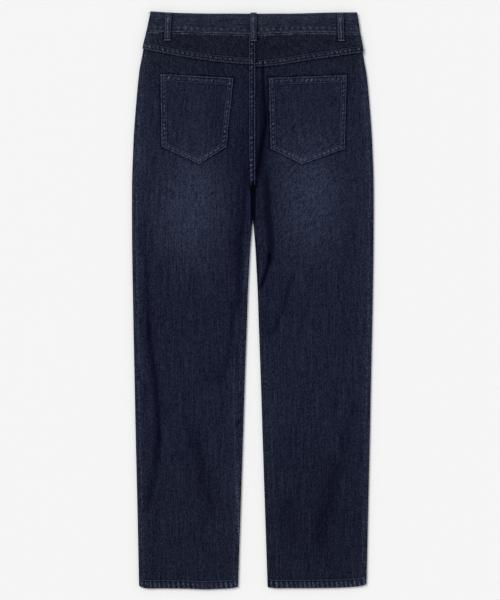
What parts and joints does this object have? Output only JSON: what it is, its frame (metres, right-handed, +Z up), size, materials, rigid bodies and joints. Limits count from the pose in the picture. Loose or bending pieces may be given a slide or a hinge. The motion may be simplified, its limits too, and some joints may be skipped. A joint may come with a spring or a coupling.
{
  "type": "wide leg jeans",
  "caption": "Wide straight leg denim jeans with a waistband, back yoke, patch pockets and belt loops, laid flat with the back uppermost.",
  "frame": {"origin": "on the surface that the jeans lie on, under the middle of their box", "axes": "+X across to the wearer's right, +Y up the garment to the waist, +Z up out of the surface, out of the garment's back"},
  "size_m": [0.4474, 1.0689, 0.0135],
  "materials": {
    "denim": "dark navy twill denim, washed paler over the back of the thighs, sewn with navy thread",
    "zip_tape": "navy woven tape",
    "metal": "antique, dull"
  },
  "bodies": {
    "root": {"back_left": "denim", "back_right": "denim", "yoke_left": "denim", "yoke_right": "denim", "front_left": "denim", "front_right": "denim", "pocket_facing_left": "denim", "pocket_facing_right": "denim", "waistband": "denim", "pocket_back_left": "denim", "pocket_back_right": "denim", "belt_loop_back_left": "denim", "belt_loop_back_centre": "denim", "belt_loop_back_right": "denim", "belt_loop_front_left": "denim", "belt_loop_front_right": "denim", "zip": "zip_tape", "zip_slider": "metal", "button": "metal"}
  },
  "joints": []
}
